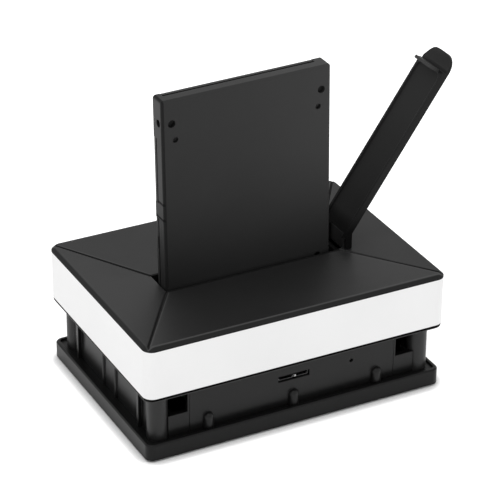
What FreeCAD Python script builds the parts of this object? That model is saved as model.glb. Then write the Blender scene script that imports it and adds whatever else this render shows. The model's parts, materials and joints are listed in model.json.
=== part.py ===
import FreeCAD, Part
import os
from math import cos, pi, radians, sin

# Desktop dock for a bare 2.5-inch drive: a funnel-topped housing on a narrow waist and a base plate,
# a drive standing in the slot, and a flap lid on a pin at the slot's right-hand end.
# Millimetres. +Z is up, -Y is the side with the port, +X is the hinge end, and z = 0 is the table.

V = FreeCAD.Vector

# Docked drive, 2.5-inch form factor, 7 mm high, standing on its connector end. It leans by drive_lean degrees
# towards the slot's left-hand end, within its play in the slot.
drive_width = 69.85
drive_length = 100.2
drive_thickness = 7.0
drive_lean = 1.0
drive_hole_spacing = 61.72
drive_hole_from_top = 9.6
drive_hole_from_plug = 14.0
drive_hole_radius = 1.5
drive_hole_depth = 2.0
drive_wall = 1.3
drive_face_wall = 1.1
drive_split = 4.4
drive_bevel = 0.8
drive_corner_radius = 1.2
drive_back_inset = 0.15
drive_seam_width = 1.2
drive_seam_depth = 1.0
lug_thickness = 0.8
left_lug_width = 2.8
right_lug_width = 4.5
corner_lug_length = 16.4
side_lug_from_top = 43.1
side_lug_length = 6.5
seam_notch_from_top = 57.6
seam_notch_length = 5.5
seam_notch_width = 1.7
insert_boss_width = 7.6
insert_boss_height = 7.0
insert_boss_depth = 4.2
side_hole_depth = 2.2
side_hole_from_face = 2.8
case_screw_from_side = 5.4
case_screw_from_end = 16.3
case_screw_head_radius = 1.1
case_screw_head_height = 0.6
case_screw_shank_radius = 0.7
case_screw_sink = 0.9
case_screw_seat = 2.4
case_screw_boss_radius = 2.0
case_screw_pilot_depth = 3.4
case_screw_cross_width = 0.3
case_screw_cross_length = 1.5
drive_board_thickness = 1.0
drive_board_width = 54.0
drive_board_length = 62.0
drive_board_face = 2.4
flash_length = 18.0
flash_width = 12.0
flash_height = 1.1
flash_column_spacing = 27.0
flash_row_spacing = 15.0
flash_from_board_end = 22.0
controller_size = 14.0
controller_from_plug = 6.0

# Drive plug: tongues in a recess of the drive's end
plug_offset = 4.8
plug_recess_width = 38.6
plug_recess_thickness = 4.7
plug_recess_depth = 5.4
plug_centre_depth = 3.4
plug_block_height = 3.2
tongue_thickness = 1.2
tongue_height = 4.7
power_tongue_width = 20.6
signal_tongue_width = 10.4
tongue_gap = 2.3
tongue_key = 1.1
power_contacts = 15
signal_contacts = 7
contact_pitch = 1.27
contact_width = 0.8
contact_proud = 0.08

# Upper housing: white band between the under pan and the funnel-shaped cover
shell_length = 126.0
shell_width = 89.0
shell_corner_radius = 4.0
least_radius = 0.2
band_height = 19.8
band_wall = 2.0
rim_height = 1.9
rim_land = 1.35
funnel_fall = 1.75
cover_wall = 2.0
skirt_height = 4.0
skirt_wall = 1.4
hip_groove_width = 1.0
hip_groove_depth = 0.5

# Slot in the cover and the guide below it
slot_play_length = 4.35
slot_play_width = 6.4
slot_front_gap = 1.2
slot_left_gap = 0.66
slot_corner_radius = 0.5
slot_depth = 22.43
guide_wall = 1.6
guide_floor = 1.6
guide_rib_width = 1.2
guide_rib_pitch = 3.6
guide_rib_count = 2
guide_rib_drop = 5.0
guide_ear_length = 9.0
guide_ear_reach = 8.0
guide_ear_thickness = 2.0
guide_ear_offset = 26.0
guide_ear_radius = 2.0
guide_boss_radius = 3.0

# Under pan with its four screw pillars
pan_thickness = 1.5
pan_inset = 0.4
pan_groove_height = 0.5
pan_groove_depth = 0.8
pan_rim_height = 3.0
pan_rim_wall = 1.2
pillar_radius = 4.0
pillar_inset = 7.0
cover_boss_radius = 3.5
cover_boss_inset_x = 13.0
cover_boss_inset_y = 15.5

# Waist between the base plate and the pan
waist_inset_x = 4.7
waist_inset_y = 4.0
waist_height = 19.0
waist_wall = 2.0
waist_lining = 1.6
panel_from_end = 14.2
jamb_width = 0.7
window_sill = 8.2
post_radius = 2.2
post_height = 5.9
post_spacing = 35.8
side_rib_spacing = 27.4
side_rib_width = 1.6
side_rib_proud = 1.5
small_rib_spacing = 5.5
small_rib_radius = 0.8

# Base: tray, bottom cover and feet
plate_inset_x = 0.7
plate_inset_y = 1.0
plate_height = 6.6
plate_corner_radius = 3.0
plate_edge_chamfer = 0.5
plate_rim_width = 1.5
plate_rim_depth = 0.8
tray_wall = 2.0
bottom_cover_thickness = 1.6
tray_rib_width = 1.2
tray_rib_pitch_x = 30.0
tray_rib_pitch_y = 27.0
tray_boss_wall = 1.2
foot_proud = 0.8
foot_radius = 5.5
foot_recess = 0.6
foot_chamfer = 0.3
foot_inset = 16.4

# Circuit board and what stands on it
board_end_gap = 1.4
board_width = 58.0
board_thickness = 1.6
board_above_plate = 10.25
board_corner_radius = 1.5
board_hole_inset = 4.0
board_hole_radius = 1.3
standoff_radius = 2.7
usb_opening_length = 13.2
usb_opening_height = 2.5
usb_x = 0.2
usb_depth = 7.0
usb_recess = 0.3
usb_shell_wall = 0.25
usb_shell_length = 12.8
usb_shell_height = 2.1
usb_wide_lobe = 7.5
usb_chamfer = 0.7
usb_notch_width = 0.7
usb_notch_height = 0.6
usb_tongue_thickness = 0.5
usb_tongue_inset = 0.9
usb_tongue_setback = 1.2
led_x = 24.8
led_hole_radius = 0.8
led_above_board = 1.25
led_length = 1.6
led_width = 1.2
led_height = 1.9
led_from_board_edge = 1.6
pipe_radius = 0.7
pipe_collar_radius = 1.1
pipe_collar_length = 0.9
chip_size = 7.0
chip_x = -18.0
chip_from_board_edge = 14.5
chip_height = 0.9
crystal_length = 5.0
crystal_width = 3.2
crystal_height = 1.1
crystal_gap = 2.0
coil_size = 5.0
coil_height = 3.0
coil_x = 18.0
coil_corner_radius = 0.8
capacitor_length = 1.6
capacitor_width = 0.9
capacitor_height = 0.8
capacitor_pitch = 3.0
capacitor_count = 5
capacitor_gap = 2.0
socket_body_length = 43.0
socket_body_width = 6.6
socket_neck_length = 38.0
socket_neck_width = 4.2
socket_neck_rise = 4.8
socket_chamfer = 0.3
tail_width = 0.4
tail_length = 1.4
tail_height = 0.2

# Lid: a shallow tray on two ears, with a fin that drops into the slot's far end. Offsets are measured from the
# line of the hinge, at right angles to the tray.
lid_open_angle = 55.74
lid_side_overlap = 2.12
lid_tip_overlap = 3.8
lid_rim_offset = 3.44
lid_back_offset = 0.59
lid_wall = 1.1
lid_floor = 2.4
lid_pocket_fillet = 0.35
lid_pocket_corner = 3.0
lid_floor_start = 1.8
lid_tip_offset = 2.05
lid_tip_radius = 6.0
lid_land = 1.2
lid_dish_radius = 7.5
lid_dish_depth = 0.5
lid_fin_height = 4.4
lid_fin_thickness = 1.2
lid_fin_slot_gap = 2.8
ear_thickness = 1.32
ear_reach = 1.3
ear_toe_width = 0.7
ear_toe_rise = 0.5
ear_stop_gap = 0.15
hinge_beyond_slot = 3.0
hinge_height = 3.8
hinge_cheek_radius = 1.4
hinge_cheek_thickness = 1.2
hinge_wall_start = 0.1
hinge_wall_rise = 1.4
hinge_pin_radius = 0.8
hinge_pin_depth = 0.8

# Screws
base_screw_radius = 1.5
base_screw_head_radius = 2.8
base_screw_head_height = 1.5
base_screw_length = 16.0
cover_screw_radius = 1.2
cover_screw_head_radius = 2.4
cover_screw_head_height = 1.6
cover_screw_length = 10.0
screw_end_gap = 0.5
board_screw_radius = 0.9
board_screw_head_radius = 2.1
board_screw_head_height = 1.4
board_screw_length = 7.0
socket_sides = 6
guide_screw_length = 3.2
drive_socket_radius = 0.8
drive_socket_depth = 0.8

# Clearances
seat_gap = 0.15
slide_gap = 0.3
seam_gap = 0.15
pin_gap = 0.05
tongue_clearance = 0.2
screw_hole_gap = 0.2
level_tolerance = 0.0001

# Lengths that follow from these
slot_length = drive_width + slot_play_length
slot_width = drive_thickness + slot_play_width
plate_length = shell_length - 2 * plate_inset_x
plate_width = shell_width - 2 * plate_inset_y
lid_width = slot_width + 2 * lid_side_overlap
lean = sin(radians(drive_lean))
cheek_end = lid_width / 2 - ear_thickness - slide_gap
fin_width = slot_width - 2 * slide_gap

# Heights that follow from these
plate_bottom = foot_proud
plate_top = plate_bottom + plate_height
plate_floor = plate_top - plate_rim_depth
pan_bottom = plate_top + waist_height
band_bottom = pan_bottom + pan_thickness
band_top = band_bottom + band_height
rim_top = band_top + rim_height
slot_top = rim_top - funnel_fall
well_floor = slot_top - slot_depth
roof_bottom = slot_top - cover_wall
cavity_top = plate_floor - tray_wall
cover_top = plate_bottom + bottom_cover_thickness
board_top = plate_top + board_above_plate
board_bottom = board_top - board_thickness
window_bottom = plate_top + window_sill

# Places that follow from these
slot_end = slot_length / 2
slot_side = slot_width / 2
drive_left = -slot_end + slot_left_gap + slot_depth * lean
drive_x = drive_left + drive_width / 2
drive_right = drive_left + drive_width
drive_front = -slot_side + slot_front_gap
drive_back = drive_front + drive_thickness
plug_x = drive_x + plug_offset
drive_bottom = well_floor + pin_gap + (plug_x - drive_left) * lean
drive_top = drive_bottom + drive_length
plug_y = drive_front + plug_centre_depth
pillar_x = plate_length / 2 - pillar_inset
pillar_y = plate_width / 2 - pillar_inset
wall_x = plate_length / 2 - waist_inset_x
wall_y = plate_width / 2 - waist_inset_y
panel_end = wall_x - panel_from_end
board_length = 2 * (panel_end - board_end_gap)
foot_x = plate_length / 2 - foot_inset
foot_y = plate_width / 2 - foot_inset
cover_boss_x = shell_length / 2 - cover_boss_inset_x
cover_boss_y = shell_width / 2 - cover_boss_inset_y
board_front = -wall_y + waist_wall + slide_gap
board_back = board_front + board_width
usb_z = board_top + usb_shell_height / 2
hinge_x = slot_end + hinge_beyond_slot
hinge_z = slot_top + hinge_height
lid_length = hinge_x + slot_end + lid_tip_overlap
crease_x = shell_length / 2 - rim_land
crease_y = shell_width / 2 - rim_land
screw_sides_y = slot_side + guide_ear_reach - guide_boss_radius
fin_end = hinge_x + slot_end - lid_fin_slot_gap
fin_start = fin_end - lid_fin_thickness


def box(x0, x1, y0, y1, z0, z1):
    return Part.makeBox(x1 - x0, y1 - y0, z1 - z0, V(x0, y0, z0))


def slab(length, width, z0, z1, radius, x=0.0, y=0.0):
    block = box(x - length / 2, x + length / 2, y - width / 2, y + width / 2, z0, z1)
    upright = [edge for edge in block.Edges if edge.BoundBox.ZLength > (z1 - z0) / 2]
    return block.makeFillet(max(radius, least_radius), upright)


def ring(length, width, z0, z1, radius, wall):
    outer = slab(length, width, z0, z1, radius)
    return outer.cut(slab(length - 2 * wall, width - 2 * wall, z0, z1, radius - wall))


def rod(radius, x, y, z0, z1):
    return Part.makeCylinder(radius, z1 - z0, V(x, y, z0))


def rod_y(radius, x, z, y0, y1):
    return Part.makeCylinder(radius, y1 - y0, V(x, y0, z), V(0, 1, 0))


def prism(points, direction):
    corners = [V(*point) for point in points]
    return Part.Face(Part.makePolygon(corners + corners[:1])).extrude(direction)


def at_corners(shape):
    # The four copies of a shape mirrored about the planes X = 0 and Y = 0
    across = shape.mirror(V(0, 0, 0), V(1, 0, 0))
    pair = [shape, across]
    return pair + [piece.mirror(V(0, 0, 0), V(0, 1, 0)) for piece in pair]


def edges_at(shape, z):
    # The edges of a solid that lie in one level plane
    return [edge for edge in shape.Edges
            if max(abs(edge.BoundBox.ZMin - z), abs(edge.BoundBox.ZMax - z)) < level_tolerance]


def joined(first, others):
    return first.fuse(others).removeSplitter()


def outline_at(half_length, half_width, z):
    return [V(-half_length, -half_width, z), V(half_length, -half_width, z),
            V(half_length, half_width, z), V(-half_length, half_width, z)]


def frustum(low, high):
    # Solid with flat faces between two level oblongs given by their corners
    faces = [Part.Face(Part.makePolygon(corners + corners[:1])) for corners in (low, high)]
    for index in range(4):
        after = (index + 1) % 4
        side = [low[index], low[after], high[after], high[index], low[index]]
        faces.append(Part.Face(Part.makePolygon(side)))
    return Part.makeSolid(Part.makeShell(faces))


def funnel(drop):
    # Everything above the cover's four sloping faces, lowered by drop
    brim = rim_top - drop
    bowl = frustum(outline_at(slot_end, slot_side, slot_top - drop), outline_at(crease_x, crease_y, brim))
    return bowl.fuse(box(-crease_x, crease_x, -crease_y, crease_y, brim, rim_top + drop + rim_height))


def make_bottom_cover():
    length = plate_length - 2 * (tray_wall + seat_gap)
    width = plate_width - 2 * (tray_wall + seat_gap)
    plate = slab(length, width, plate_bottom, cover_top, plate_corner_radius - tray_wall)
    feet = at_corners(rod(foot_radius + seat_gap, foot_x, foot_y, plate_bottom, plate_bottom + foot_recess))
    shank = base_screw_radius + screw_hole_gap
    head = base_screw_head_radius + screw_hole_gap
    sink = Part.makeCone(head, shank, base_screw_head_height, V(pillar_x, pillar_y, plate_bottom))
    holes = at_corners(rod(shank, pillar_x, pillar_y, plate_bottom, cover_top)) + at_corners(sink)
    return plate.cut(feet + holes)


def make_feet():
    foot = rod(foot_radius, foot_x, foot_y, 0.0, plate_bottom + foot_recess)
    foot = foot.makeChamfer(foot_chamfer, edges_at(foot, 0.0))
    return Part.makeCompound(at_corners(foot))


def make_base_tray():
    tray = slab(plate_length, plate_width, plate_bottom, plate_top, plate_corner_radius)
    tray = tray.makeChamfer(plate_edge_chamfer, edges_at(tray, plate_top))
    inner_length = plate_length - 2 * plate_rim_width
    inner_width = plate_width - 2 * plate_rim_width
    recess = slab(inner_length, inner_width, plate_floor, plate_top, plate_corner_radius - plate_rim_width)
    cavity_length = plate_length - 2 * tray_wall
    cavity_width = plate_width - 2 * tray_wall
    cavity = slab(cavity_length, cavity_width, plate_bottom, cavity_top, plate_corner_radius - tray_wall)
    tray = tray.cut([recess, cavity])
    boss_radius = base_screw_head_radius + tray_boss_wall
    bosses = at_corners(rod(boss_radius, pillar_x, pillar_y, cover_top, cavity_top))
    half = tray_rib_width / 2
    ribs = []
    for x in (-tray_rib_pitch_x, 0.0, tray_rib_pitch_x):
        ribs.append(box(x - half, x + half, -cavity_width / 2, cavity_width / 2, cover_top, cavity_top))
    for y in (-tray_rib_pitch_y / 2, tray_rib_pitch_y / 2):
        ribs.append(box(-cavity_length / 2, cavity_length / 2, y - half, y + half, cover_top, cavity_top))
    standoffs = [rod(standoff_radius, x, y, cavity_top, board_bottom) for x, y in board_holes()]
    tray = joined(tray, bosses + ribs + standoffs)
    holes = at_corners(rod(base_screw_radius + screw_hole_gap, pillar_x, pillar_y, plate_bottom, plate_top))
    tip = board_top - board_screw_length - screw_end_gap
    pilots = [rod(board_screw_radius + pin_gap, x, y, tip, board_bottom) for x, y in board_holes()]
    return tray.cut(holes + pilots)


def board_holes():
    x = board_length / 2 - board_hole_inset
    ys = (board_front + board_hole_inset, board_back - board_hole_inset)
    return [(side * x, y) for side in (-1, 1) for y in ys]


def make_waist_ends():
    # The right-hand end wall with its ribs, quarter linings and window sills, and its mirror image
    front = wall_y - waist_wall
    pocket_radius = pillar_radius + slide_gap
    wall = box(wall_x - waist_wall, wall_x, -pillar_y, pillar_y, plate_floor, pan_bottom)
    lining = rod(pocket_radius + waist_lining, pillar_x, pillar_y, plate_floor, window_bottom)
    lining = lining.common(box(0.0, wall_x, 0.0, wall_y, plate_floor, window_bottom))
    jamb = panel_end + seam_gap
    sill = box(jamb, pillar_x, front, wall_y, plate_floor, window_bottom)
    post = box(jamb, jamb + jamb_width, front, wall_y, plate_floor, pan_bottom)
    corner = joined(lining, [sill, post])
    wall = joined(wall, [corner, corner.mirror(V(0, 0, 0), V(0, 1, 0))])
    pocket = rod(pocket_radius, pillar_x, pillar_y, plate_floor, pan_bottom)
    wall = wall.cut([pocket, pocket.mirror(V(0, 0, 0), V(0, 1, 0))])
    ribs = []
    half = side_rib_width / 2
    for y in (-side_rib_spacing, side_rib_spacing):
        ribs.append(box(wall_x, wall_x + side_rib_proud, y - half, y + half, plate_floor, pan_bottom))
    for y in (-small_rib_spacing, small_rib_spacing):
        ribs.append(rod(small_rib_radius, wall_x, y, plate_floor, pan_bottom))
    right = joined(wall, ribs)
    return right, right.mirror(V(0, 0, 0), V(1, 0, 0))


def panel_blank():
    panel = box(-panel_end, panel_end, -wall_y, -wall_y + waist_wall, plate_floor, pan_bottom)
    top = plate_top + post_height - post_radius
    posts = []
    for x in (-post_spacing, 0.0, post_spacing):
        post = rod(post_radius, x, -wall_y, plate_floor, top)
        post = post.fuse(Part.makeSphere(post_radius, V(x, -wall_y, top)))
        posts.append(post.common(box(x - post_radius, x + post_radius, -wall_y - post_radius,
                                     -wall_y, plate_floor, pan_bottom)))
    return joined(panel, posts)


def make_port_panel():
    half = usb_opening_length / 2
    opening = box(usb_x - half, usb_x + half, -wall_y, -wall_y + waist_wall,
                  usb_z - usb_opening_height / 2, usb_z + usb_opening_height / 2)
    led_hole = rod_y(led_hole_radius, led_x, board_top + led_above_board, -wall_y, -wall_y + waist_wall)
    return panel_blank().cut([opening, led_hole])


def make_rear_panel():
    return panel_blank().mirror(V(0, 0, 0), V(0, 1, 0))


def make_under_pan():
    length = shell_length - 2 * pan_inset
    width = shell_width - 2 * pan_inset
    pan = slab(length, width, pan_bottom, band_bottom, shell_corner_radius - pan_inset)
    lip_bottom = band_bottom - pan_groove_height
    groove = ring(length, width, lip_bottom, band_bottom, shell_corner_radius - pan_inset, pan_groove_depth)
    pan = pan.cut(groove)
    inset = band_wall + seat_gap
    rim = ring(shell_length - 2 * inset, shell_width - 2 * inset, band_bottom, band_bottom + pan_rim_height,
               shell_corner_radius - inset, pan_rim_wall)
    pillars = at_corners(rod(pillar_radius, pillar_x, pillar_y, plate_floor, pan_bottom))
    pan = joined(pan, [rim] + pillars)
    grow = 2 * (guide_wall + slide_gap)
    bay = slab(slot_length + grow, slot_width + grow, pan_bottom, band_bottom, guide_wall)
    tip = plate_bottom + base_screw_length + screw_end_gap
    pilots = at_corners(rod(base_screw_radius + pin_gap, pillar_x, pillar_y, plate_floor, tip))
    holes = at_corners(rod(cover_screw_radius + screw_hole_gap, cover_boss_x, cover_boss_y,
                           pan_bottom, band_bottom))
    return pan.cut([bay] + pilots + holes)


def make_side_band():
    return ring(shell_length, shell_width, band_bottom, band_top, shell_corner_radius, band_wall)


def hip_grooves():
    # A shallow vee along each line where two faces of the funnel meet
    low = V(slot_end, slot_side, slot_top)
    along = V(crease_x, crease_y, rim_top).sub(low)
    half = V(-along.y, along.x, 0).normalize().multiply(hip_groove_width / 2)
    drop = V(0, 0, hip_groove_depth)
    points = [low.add(half).add(drop), low.add(half), low.sub(drop), low.sub(half), low.sub(half).add(drop)]
    return at_corners(Part.Face(Part.makePolygon(points + points[:1])).extrude(along))


def make_top_cover():
    blank = slab(shell_length, shell_width, band_top, rim_top, shell_corner_radius)
    blank = blank.makeChamfer(rim_land, edges_at(blank, rim_top))
    inset = band_wall + seat_gap
    skirt_bottom = band_top - skirt_height
    skirt = slab(shell_length - 2 * inset, shell_width - 2 * inset, skirt_bottom, band_top,
                 shell_corner_radius - inset)
    inset += skirt_wall
    hollow = slab(shell_length - 2 * inset, shell_width - 2 * inset, skirt_bottom, rim_top,
                  shell_corner_radius - inset)
    hollow = hollow.cut(funnel(cover_wall))
    cover = joined(blank, [skirt]).cut([hollow, funnel(0.0)])
    bosses = at_corners(rod(cover_boss_radius, cover_boss_x, cover_boss_y, band_bottom, slot_top))
    pads = at_corners(rod(guide_boss_radius, guide_ear_offset, screw_sides_y, roof_bottom, slot_top))
    cover = joined(cover, bosses + pads).cut(hip_grooves())
    cover = joined(cover, hinge_cheeks())
    slot = slab(slot_length, slot_width, skirt_bottom, rim_top, slot_corner_radius)
    tip = pan_bottom + cover_screw_length + screw_end_gap
    pilots = at_corners(rod(cover_screw_radius + pin_gap, cover_boss_x, cover_boss_y, band_bottom, tip))
    tip = roof_bottom - guide_ear_thickness + guide_screw_length + screw_end_gap
    guide_pilots = at_corners(rod(board_screw_radius + pin_gap, guide_ear_offset, screw_sides_y,
                                  roof_bottom, tip))
    inner = cheek_end - hinge_cheek_thickness
    recess = box(slot_end, hinge_x + hinge_wall_start, -inner, inner, skirt_bottom, rim_top)
    return cover.cut([slot, recess] + pin_bores() + pilots + guide_pilots)


def on_both_sides(shape):
    return [shape, shape.mirror(V(0, 0, 0), V(0, 1, 0))]


def hinge_pins(radius):
    # A short pin at each side, half in the cheek and half in the lid's ear, or its bore
    end = cheek_end + slide_gap + hinge_pin_depth
    return on_both_sides(rod_y(radius, hinge_x, hinge_z, cheek_end - hinge_pin_depth, end))


def pin_bores():
    return hinge_pins(hinge_pin_radius)


def make_hinge_pin():
    return Part.makeCompound(hinge_pins(hinge_pin_radius - pin_gap))


def hinge_cheeks():
    # Two rounded cheeks on the cover beyond the slot's right-hand end, with a low wall behind the recess
    inner = cheek_end - hinge_cheek_thickness
    round_top = rod_y(hinge_cheek_radius, hinge_x, hinge_z, inner, cheek_end)
    foot = box(hinge_x - hinge_cheek_radius, hinge_x + hinge_cheek_radius, inner, cheek_end,
               roof_bottom, hinge_z)
    wall = box(hinge_x + hinge_wall_start, hinge_x + hinge_cheek_radius, -inner, inner,
               roof_bottom, hinge_z + hinge_wall_rise)
    return on_both_sides(round_top.fuse(foot)) + [wall]


def lid_body():
    # Built flat with the hinge at the origin, X towards the tip and Z out of the inner face
    half = lid_width / 2
    profile = [(0.0, -half, lid_back_offset), (lid_length, -half, lid_back_offset),
               (lid_length, -half, lid_tip_offset), (fin_end, -half, lid_tip_offset),
               (fin_end, -half, lid_rim_offset), (0.0, -half, lid_rim_offset)]
    body = prism(profile, V(0, lid_width, 0))
    body = body.common(slab(2 * lid_length, lid_width, 0.0, lid_rim_offset, lid_tip_radius))
    floor = lid_back_offset + lid_floor
    pocket = slab(2 * fin_start, lid_width - 2 * lid_wall, floor, 2 * lid_rim_offset, lid_pocket_corner)
    pocket = pocket.makeFillet(lid_pocket_fillet, edges_at(pocket, floor))
    bay = box(-lid_floor_start, lid_floor_start, -half + ear_thickness, half - ear_thickness,
              0.0, lid_rim_offset)
    dish_x = (fin_end + lid_land + lid_length) / 2
    dish = rod_y(lid_dish_radius, dish_x, lid_tip_offset + lid_dish_radius - lid_dish_depth, -half, half)
    return body.cut([pocket, bay, dish.common(box(fin_end, lid_length, -half, half, 0.0, lid_rim_offset))])


def lid_fin():
    fin = box(fin_start, fin_end, -fin_width / 2, fin_width / 2,
              lid_tip_offset, lid_rim_offset + lid_fin_height)
    corners = [edge for edge in fin.Edges
               if edge.BoundBox.XLength > lid_fin_thickness / 2 and edge.BoundBox.ZMin > lid_rim_offset]
    return fin.makeFillet(lid_fin_thickness, corners)


def lid_ears():
    # Upright ears in the open lid's place, cut off along the tray's back, whose flat toes meet the cover
    rear = hinge_x + ear_reach
    front = hinge_x - ear_reach
    angle = radians(lid_open_angle)
    top_front = hinge_z + lid_rim_offset / cos(angle) - ear_reach * sin(angle) / cos(angle)
    top_rear = hinge_z + lid_back_offset / cos(angle) + ear_reach * sin(angle) / cos(angle)
    toe = slot_top + (rear - slot_end) * funnel_fall / (crease_x - slot_end) + ear_stop_gap
    y = lid_width / 2 - ear_thickness
    points = [(front, y, top_front), (front, y, toe + ear_toe_rise), (front + ear_toe_width, y, toe),
              (rear, y, toe), (rear, y, top_rear)]
    return on_both_sides(prism(points, V(0, ear_thickness, 0)))


def make_lid():
    lid = joined(lid_body(), [lid_fin()])
    lid.rotate(V(0, 0, 0), V(0, 1, 0), -lid_open_angle)
    lid.translate(V(hinge_x, 0, hinge_z))
    half = lid_width / 2
    below = box(hinge_x - lid_length, hinge_x - ear_reach, -half, half, slot_top, hinge_z + lid_rim_offset / 2)
    return joined(lid.cut(below), lid_ears()).cut(pin_bores())


def make_drive_guide():
    floor_bottom = well_floor - guide_floor
    guide = slab(slot_length + 2 * guide_wall, slot_width + 2 * guide_wall, floor_bottom, roof_bottom,
                 guide_wall)
    well = box(-slot_end, slot_end, -slot_side, slot_side, well_floor, roof_bottom)
    ears = []
    reach = slot_side + guide_ear_reach
    for x in (-guide_ear_offset, guide_ear_offset):
        ears.append(slab(guide_ear_length, 2 * reach, roof_bottom - guide_ear_thickness, roof_bottom,
                         guide_ear_radius, x))
    guide = joined(guide, ears).cut(well)
    ribs = []
    for index in range(guide_rib_count):
        y = drive_front + guide_rib_width + index * guide_rib_pitch
        ribs.append(box(drive_right + slide_gap, slot_end, y, y + guide_rib_width,
                        well_floor, roof_bottom - guide_rib_drop))
    guide = joined(guide, ribs)
    gap = 2 * slide_gap
    neck = box(plug_x - socket_neck_length / 2 - gap, plug_x + socket_neck_length / 2 + gap,
               plug_y - socket_neck_width / 2 - slide_gap, plug_y + socket_neck_width / 2 + slide_gap,
               floor_bottom, well_floor)
    holes = at_corners(rod(board_screw_radius + screw_hole_gap, guide_ear_offset, screw_sides_y,
                           roof_bottom - guide_ear_thickness, roof_bottom))
    return guide.cut([neck] + holes)


def make_circuit_board():
    middle = (board_front + board_back) / 2
    board = slab(board_length, board_width, board_bottom, board_top, board_corner_radius, 0.0, middle)
    holes = [rod(board_hole_radius, x, y, board_bottom, board_top) for x, y in board_holes()]
    return board.cut(holes)


def tongue_places():
    # X ranges of the signal and power tongues, signal on the left seen from the port side
    total = signal_tongue_width + tongue_gap + power_tongue_width
    signal_start = plug_x - total / 2
    power_start = signal_start + signal_tongue_width + tongue_gap
    return [(signal_start, signal_start + signal_tongue_width, signal_contacts),
            (power_start, power_start + power_tongue_width, power_contacts)]


def tongue_solids(grow, bottom, top):
    # The two L-shaped tongues, or their slots when grown by the clearance
    half = tongue_thickness / 2 + grow
    solids = []
    for start, end, count in tongue_places():
        blade = box(start - grow, end + grow, plug_y - half, plug_y + half, bottom, top)
        key = box(end - tongue_thickness - grow, end + grow, plug_y, plug_y + half + tongue_key, bottom, top)
        solids.append(blade.fuse(key).removeSplitter())
    return solids


def make_sata_socket():
    half = socket_body_length / 2
    neck = socket_neck_length / 2
    shoulder = well_floor - guide_floor - slide_gap
    top = drive_bottom + socket_neck_rise
    body = box(plug_x - half, plug_x + half, plug_y - socket_body_width / 2, plug_y + socket_body_width / 2,
               board_top, shoulder)
    upright = [edge for edge in body.Edges if edge.BoundBox.ZLength > socket_chamfer]
    body = body.makeChamfer(socket_chamfer, upright)
    tower = box(plug_x - neck, plug_x + neck, plug_y - socket_neck_width / 2, plug_y + socket_neck_width / 2,
                shoulder, top)
    tower = tower.makeChamfer(socket_chamfer, edges_at(tower, top))
    return joined(body, [tower]).cut(tongue_solids(tongue_clearance, well_floor, top))


def contact_places(start, end, count):
    # X of each contact in the middle of a stretch
    first = (start + end) / 2 - (count - 1) * contact_pitch / 2
    return [first + index * contact_pitch for index in range(count)]


def make_sata_tails():
    # The solder tails that run out from under the socket's back edge
    back = plug_y + socket_body_width / 2
    tails = []
    for start, end, count in tongue_places():
        for x in contact_places(start, end, count):
            tails.append(box(x - tail_width / 2, x + tail_width / 2, back, back + tail_length,
                             board_top, board_top + tail_height))
    return Part.makeCompound(tails)


def usb_outline(inset):
    # Mouth of the port: a wide and a narrow lobe, with a notch between them from below
    left = usb_x - usb_shell_length / 2 + inset
    right = usb_x + usb_shell_length / 2 - inset
    low = usb_z - usb_shell_height / 2 + inset
    high = usb_z + usb_shell_height / 2 - inset
    notch_start = usb_x - usb_shell_length / 2 + usb_wide_lobe - inset
    notch_end = notch_start + usb_notch_width + 2 * inset
    points = [(left, high), (left, low + usb_chamfer), (left + usb_chamfer, low),
              (notch_start - usb_chamfer, low), (notch_start, low + usb_notch_height),
              (notch_end, low + usb_notch_height), (notch_end, low), (right, low), (right, high)]
    return [(x, -wall_y + usb_recess, z) for x, z in points]


def make_usb_shell():
    depth = V(0, usb_depth, 0)
    shell = prism(usb_outline(0.0), depth)
    cavity = prism(usb_outline(usb_shell_wall), V(0, usb_depth - usb_shell_wall, 0))
    return shell.cut(cavity)


def make_usb_tongues():
    left = usb_x - usb_shell_length / 2 + usb_tongue_inset
    middle = usb_x - usb_shell_length / 2 + usb_wide_lobe + usb_notch_width / 2
    right = usb_x + usb_shell_length / 2 - usb_tongue_inset
    front = -wall_y + usb_recess + usb_tongue_setback
    back = -wall_y + usb_recess + usb_depth - usb_shell_wall
    high = usb_z + usb_shell_height / 2 - usb_shell_wall - usb_tongue_thickness / 2
    tongues = []
    for x0, x1 in ((left, middle - usb_tongue_inset), (middle + usb_tongue_inset, right)):
        tongues.append(box(x0, x1, front, back, high - usb_tongue_thickness, high))
    return Part.makeCompound(tongues)


def make_bridge_chip():
    half = chip_size / 2
    y = board_front + chip_from_board_edge
    return box(chip_x - half, chip_x + half, y - half, y + half, board_top, board_top + chip_height)


def make_crystal():
    x = chip_x + chip_size / 2 + crystal_gap + crystal_width / 2
    y = board_front + chip_from_board_edge
    return slab(crystal_width, crystal_length, board_top, board_top + crystal_height, least_radius, x, y)


def make_power_coil():
    y = board_front + chip_from_board_edge
    return slab(coil_size, coil_size, board_top, board_top + coil_height, coil_corner_radius, coil_x, y)


def make_capacitors():
    # Ceramic capacitors in a row behind the port
    y = -wall_y + usb_recess + usb_depth + capacitor_gap
    half = capacitor_length / 2
    pieces = []
    for index in range(capacitor_count):
        x = usb_x + (index - (capacitor_count - 1) / 2) * capacitor_pitch
        pieces.append(box(x - half, x + half, y, y + capacitor_width, board_top, board_top + capacitor_height))
    return Part.makeCompound(pieces)


def make_status_led():
    front = board_front + led_from_board_edge
    half = led_width / 2
    return box(led_x - half, led_x + half, front, front + led_length, board_top, board_top + led_height)


def make_light_pipe():
    z = board_top + led_above_board
    end = board_front + led_from_board_edge - seat_gap
    inside = -wall_y + waist_wall
    pipe = rod_y(pipe_radius, led_x, z, -wall_y + seat_gap, end)
    return joined(pipe, [rod_y(pipe_collar_radius, led_x, z, inside, inside + pipe_collar_length)])


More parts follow.
